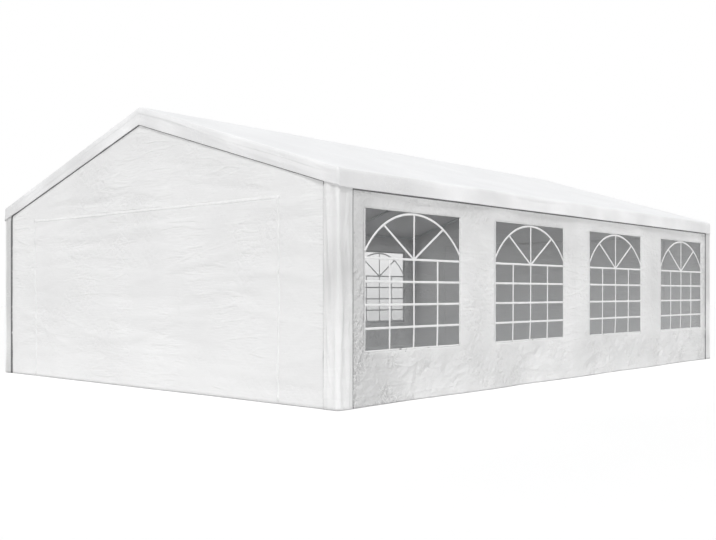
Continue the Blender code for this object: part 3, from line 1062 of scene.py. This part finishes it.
def gable_sheet(name, end, x, z, material, keep=None):
    """A piece of gable sheeting on a grid in X and Z."""
    points = np.stack((x, end * gable_face(x, z, end), z), axis=-1)
    across = x + GABLE_PATTERN + GABLE_PATTERN_STEP * end
    layout = np.stack((across, z, gable_crumple_and_shade(x, z, end)), axis=-1)
    return grid_sheet(name, points, layout, -end, material, keep=keep)


def build_gable_wall(name, end, material):
    """Columns from the ground to the rafters, less those rows that the doorway takes."""
    x_lines = grid_lines([-GABLE_HALF, -DOOR_HALF, 0.0, DOOR_HALF, GABLE_HALF], WALL_STEP)
    low_lines = grid_lines([WALL_FOOT, WALL_FOOT + HEM, DOOR_HEAD], WALL_STEP)
    high_shares = np.linspace(0.0, 1.0, RAFTER_ROWS + 1)[1:]
    top = GABLE_APEX - SLOPE * np.abs(x_lines)
    low = np.broadcast_to(low_lines[:, None], (len(low_lines), len(x_lines)))
    high = DOOR_HEAD + high_shares[:, None] * (top - DOOR_HEAD)
    z = np.concatenate((low, high))
    x = np.broadcast_to(x_lines, z.shape)
    x_middle, z_middle = cell_middles(x, z)
    keep = (np.abs(x_middle) > DOOR_HALF) | (z_middle > DOOR_HEAD)
    return gable_sheet(name, end, x, z, material, keep)


gable_material = sheeting(
    "gable_sheeting",
    (0.925, 0.925, 0.925),
    patchy=0.05,
    streaks=0.0036,
    lines=0.0024,
    facets=0.0050,
    glow=0.20,
    gloss=0.34,
)
for end, place_word in ENDS:
    gable_wall = build_gable_wall(f"{place_word}_gable_wall_sheet", end, gable_material)
    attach(gable_wall, "root")
    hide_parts(f"{place_word}_gable_wall")
    number = 1 if end < 0 else 5


# Door curtains and their zips.
# A wide curtain of the same sheeting, welded to the gable along its head and joined to it
# down both sides by a white coil zip, whose slider is run down to the ground.

ZIP_FOOT = WALL_FOOT + 0.012
WELD_WIDTH = 0.030
WELD_THICKNESS = 0.0016
WELD_LAP = 0.03

# The foot, head, width and height of each part of a zip: tape, coil, slider and pull.
ZIP_PARTS = (
    (ZIP_FOOT, DOOR_HEAD + 0.02, 0.032, 0.0009),
    (ZIP_FOOT, DOOR_HEAD, 0.007, 0.0018),
    (ZIP_FOOT + 0.01, ZIP_FOOT + 0.032, 0.012, 0.0060),
    (ZIP_FOOT + 0.026, ZIP_FOOT + 0.066, 0.005, 0.0072),
)


def over_gable(end):
    """The function that turns places on a gable, and heights over it, into points."""

    def place(x, z, lift):
        return np.stack((x, end * (gable_face(x, z, end) + lift), z), axis=-1)

    return place


def build_door_curtain(name, end, material):
    """A grid across the doorway, a hair narrower than it."""
    half = DOOR_HALF - DOOR_GAP
    x_lines = grid_lines([-half, 0.0, half], WALL_STEP)
    z_lines = grid_lines([WALL_FOOT, WALL_FOOT + HEM, DOOR_HEAD - DOOR_GAP], WALL_STEP)
    return gable_sheet(name, end, *np.meshgrid(x_lines, z_lines), material)


def build_zip(name, end, x, material):
    """The parts of a zip, laid over the gap beside the curtain."""
    strips = [
        tape(straight((x, foot), (x, head)), width, height, over_gable(end))
        for foot, head, width, height in ZIP_PARTS
    ]
    return join_strips(name, strips, material, end > 0)


def build_head_weld(name, end, material):
    """The strip welded over the line where the curtain joins the gable."""
    reach = DOOR_HALF + WELD_LAP
    path = straight((-reach, DOOR_HEAD), (reach, DOOR_HEAD))
    strip = tape(path, WELD_WIDTH, WELD_THICKNESS, over_gable(end))
    return join_strips(name, [strip], material, end > 0)


zip_material = tape_material("zip_tape", (0.85, 0.85, 0.85), gloss=0.45, weave_height=0.00003)
for end, place_word in ENDS:
    fixings = [
        build_zip(f"{place_word}_door_{word}_zip", end, side * DOOR_HALF, zip_material)
        for side, word in SIDES
    ]
    fixings.append(build_head_weld(f"{place_word}_door_head_weld", end, zip_material))
    for fixing in fixings:
        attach(fixing, "root")
    curtain = build_door_curtain(f"{place_word}_door_curtain_sheet", end, gable_material)
    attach(curtain, "root")
    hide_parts(f"{place_word}_door_curtain")


# Corner covers and dark strips of painted shadow.
# An upright strip of sheeting wraps each corner leg outside both walls, with soft folds
# down it, and its free edge on the gable stands proud. Dark strips down its free edges
# paint the shadow in the gaps behind them, and more paint it between the valance and the walls.

COVER_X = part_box("front_right_corner_cover")[1].x
COVER_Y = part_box("rear_right_corner_cover")[1].y
COVER_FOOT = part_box("front_right_corner_cover")[0].z
COVER_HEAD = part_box("front_right_corner_cover")[1].z
COVER_T = 0.002
COVER_GAP = 0.0045
COVER_EASE = 0.001
COVER_COLUMNS = 60
COVER_PATTERN = 40.0
# Each cover's crumpling and painted shade, front left, front right, rear left, rear right: most on
# the left, away from the key light.
COVER_CRUMPLE_AND_SHADE = (0.9, 0.2, 0.5, 0.4)
ARM = 0.17
CORNER_ROUND = 0.020
CORNER_ARC = CORNER_ROUND * math.pi / 4.0
COVER_REACH = ARM - CORNER_ROUND + CORNER_ARC
FOLD_PITCH = 0.11
FOLD_HEIGHT = 0.0042
DRIFT_PITCH = 1.7
DRIFT = 0.018
COVER_LONG = dict(count=30, length=0.50, width=0.018, height=0.0130, lean=1.57, spread=0.09)
COVER_SHORT = dict(count=50, length=0.18, width=0.009, height=0.0060, lean=1.5, spread=0.25)
GABLE_FLARE = 0.010
SIDE_FLARE = 0.001
FOOT_FLARE = 0.006
# Sizes of the dark strips of painted shadow, first down the covers' free edges, then under the
# valance's hem.
EDGE_SHADOW_WIDTH = 0.014
EDGE_T = 0.0012
EDGE_ROWS = 50
EDGE_LAP = 0.02
EDGE_INSET = 0.0004
EDGE_LIFT = 0.0006
SHADOW_STRIP_WIDTH = 0.026
SHADOW_STRIP_HEIGHT = 0.0014
SIDE_SHADOW_STRIP_RISE = 0.001
RAKE_SHADOW_STRIP_RISES = (0.002, 0.006)


def corner_path(along):
    """Plan of a corner cover from the free edge on the gable to that on the side.

    Straight, a quarter circle and straight, as places and outward directions. Along is
    the distance from the middle of the corner, below 0 on the gable.
    """
    angle = np.clip(along / CORNER_ROUND + math.pi / 4.0, 0.0, math.pi / 2.0)
    normal = np.stack((np.sin(angle), np.cos(angle)), axis=-1)
    spot = CORNER_ROUND * (normal - 1.0)
    spot[..., 0] = spot[..., 0] + np.minimum(along + CORNER_ARC, 0.0)
    spot[..., 1] = spot[..., 1] - np.maximum(along - CORNER_ARC, 0.0)
    return spot, normal


def hem_above(along):
    """Height of the valance's hem over a place on a corner cover."""
    on_gable = APEX_HEM_Z - RAKE_HEM_FALL * (COVER_X + along)
    return np.where(along < 0.0, on_gable, VALANCE_Z)


def corner_folds(along, z, seed):
    """How far the cover stands off its plane, eased so that it stays above -0.001.

    Upright folds that drift sideways, long and short creases, and flared free edges and
    foot. They are weaker behind the valance.
    """
    drift = DRIFT * np.sin(2.0 * math.pi * z / DRIFT_PITCH + seed)
    fold = FOLD_HEIGHT * np.sin(2.0 * math.pi * (along + drift) / FOLD_PITCH + seed)
    area = (-ARM, ARM, COVER_FOOT, COVER_HEAD)
    fold = fold + creases(along, z, area, seed=60 + seed, **COVER_LONG)
    fold = fold + creases(along, z, area, seed=70 + seed, **COVER_SHORT)
    below = smooth_step(0.0, 0.07, hem_above(along) - z)
    flare = np.where(along < 0.0, GABLE_FLARE, SIDE_FLARE)
    edge = smooth_step(0.06, 0.15, np.abs(along))
    loose = smooth_step(0.0, 0.03, np.abs(along)) * (0.5 + 0.5 * below)
    loose = loose * (1.0 - smooth_step(ARM - 0.06, ARM - 0.01, np.abs(along)))
    foot = FOOT_FLARE * (1.0 - smooth_step(0.0, 0.3, z)) * (1.0 - edge)
    out = COVER_GAP + loose * fold + below * (flare * edge + foot)
    return 0.5 * (out + np.sqrt(out**2 + (2.0 * COVER_EASE) ** 2)) - COVER_EASE


def corner_points(along, z, out, side, end):
    """Points of a corner cover at a distance out from its plane."""
    spot, normal = corner_path(along)
    x = side * (COVER_X + spot[..., 0] + normal[..., 0] * out)
    y = end * (COVER_Y + spot[..., 1] + normal[..., 1] * out)
    return np.stack((x, y, z), axis=-1)


def build_corner_cover(name, side, end, seed, material):
    """A grid along the plan and up the corner, standing off by its folds."""
    along_lines = np.linspace(-COVER_REACH, COVER_REACH, COVER_COLUMNS + 1)
    z_lines = grid_lines([COVER_FOOT, COVER_FOOT + HEM, COVER_HEAD], WALL_STEP)
    along, z = np.meshgrid(along_lines, z_lines)
    points = corner_points(along, z, corner_folds(along, z, seed), side, end)
    # Slack greys the arms with painted shade, but not the rounded corner.
    crumple_and_shade = COVER_CRUMPLE_AND_SHADE[seed] * smooth_step(0.012, 0.05, np.abs(along))
    layout = np.stack((along + COVER_PATTERN + seed, z, crumple_and_shade), axis=-1)
    return grid_sheet(name, points, layout, -side * end, material, COVER_T)


def wall_behind(along, z, side, end):
    """How far out of a corner cover's plane the face of the wall behind it lies."""
    spot = corner_path(along)[0]
    on_gable = gable_face(side * (COVER_X + spot[..., 0]), z, end) - COVER_Y
    on_side = side_face(end * (COVER_Y + spot[..., 1]), z, side) - COVER_X
    return np.where(along < 0.0, on_gable, on_side)


def build_corner_shadow_strips(name, side, end, seed, material):
    """Dark strips of painted shadow down both free edges: back from the edge to the wall, and along
    it.
    """
    grid = quads(EDGE_ROWS, 3).reshape(-1, 4)
    strips = []
    for edge in (-1, 1):
        head_z = float(hem_above(edge * COVER_REACH)) + EDGE_LAP
        z = np.linspace(COVER_FOOT, head_z, EDGE_ROWS)
        near = np.full_like(z, edge * (COVER_REACH + EDGE_T))
        beyond = near + edge * EDGE_SHADOW_WIDTH
        lip = corner_folds(near, z, seed) - EDGE_INSET
        back = wall_behind(near, z, side, end)
        far = wall_behind(beyond, z, side, end) + EDGE_LIFT
        places = zip((near, near, beyond), (lip, back, far))
        strip = np.stack([corner_points(along, z, out, side, end) for along, out in places], axis=1)
        strips.append((strip.reshape(-1, 3), grid[:, ::edge].tolist()))
    edges = join_strips(name, strips, material, side * end > 0)
    thicken(edges, EDGE_T)
    return edges


cover_material = sheeting(
    "corner_sheeting",
    (0.90, 0.90, 0.90),
    patchy=0.28,
    streaks=0.0010,
    lines=0.0012,
    facets=0.0022,
    glow=0.12,
    gloss=0.32,
    crease_highlight=0.4,
)
# The dark strips are painted shadow, in the gaps behind the covers' free edges and under the
# valance's hem.
shadow_strip_material = tape_material("dark_edging", (0.16, 0.16, 0.165), gloss=0.75, weave_height=0.00006)
corners = [
    (side, end, f"{place_word}_{word}") for end, place_word in ENDS for side, word in SIDES
]
for seed, (side, end, corner_word) in enumerate(corners):
    name = f"{corner_word}_corner_cover"
    shadow_strip = build_corner_shadow_strips(f"{corner_word}_corner_shadow_strip", side, end, seed, shadow_strip_material)
    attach(shadow_strip, "root")
    cover = build_corner_cover(f"{name}_sheet", side, end, seed, cover_material)
    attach(cover, "root")
    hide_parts(name)


def build_side_shadow_strip(name, side, material):
    """A dark strip of painted shadow along a side wall, on the valance's hem, between the corner
    covers.
    """
    reach = COVER_Y - ARM
    z = VALANCE_Z + SIDE_SHADOW_STRIP_RISE
    path = straight((-reach, z), (reach, z))
    strip = tape(path, SHADOW_STRIP_WIDTH, SHADOW_STRIP_HEIGHT, over_side(side_face, side))
    return join_strips(name, [strip], material, side < 0)


def build_gable_shadow_strip(name, end, material):
    """Dark strips of painted shadow from the apex down both rakes, on the valance's hem."""
    reach = COVER_X - ARM
    strips = []
    for turn, rise in zip((-1, 1), RAKE_SHADOW_STRIP_RISES):
        apex_z = APEX_HEM_Z + rise
        path = straight((0.0, apex_z), (turn * reach, apex_z - RAKE_HEM_FALL * reach))
        strips.append(tape(path, SHADOW_STRIP_WIDTH, SHADOW_STRIP_HEIGHT, over_gable(end)))
    return join_strips(name, strips, material, end > 0)


# Dark strips of painted shadow under the valance's hem, along both sides and both gables.
shadow_strips = [build_side_shadow_strip(f"{word}_side_shadow_strip", side, shadow_strip_material) for side, word in SIDES]
shadow_strips = shadow_strips + [
    build_gable_shadow_strip(f"{place_word}_gable_shadow_strip", end, shadow_strip_material) for end, place_word in ENDS
]
for shadow_strip in shadow_strips:
    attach(shadow_strip, "root")
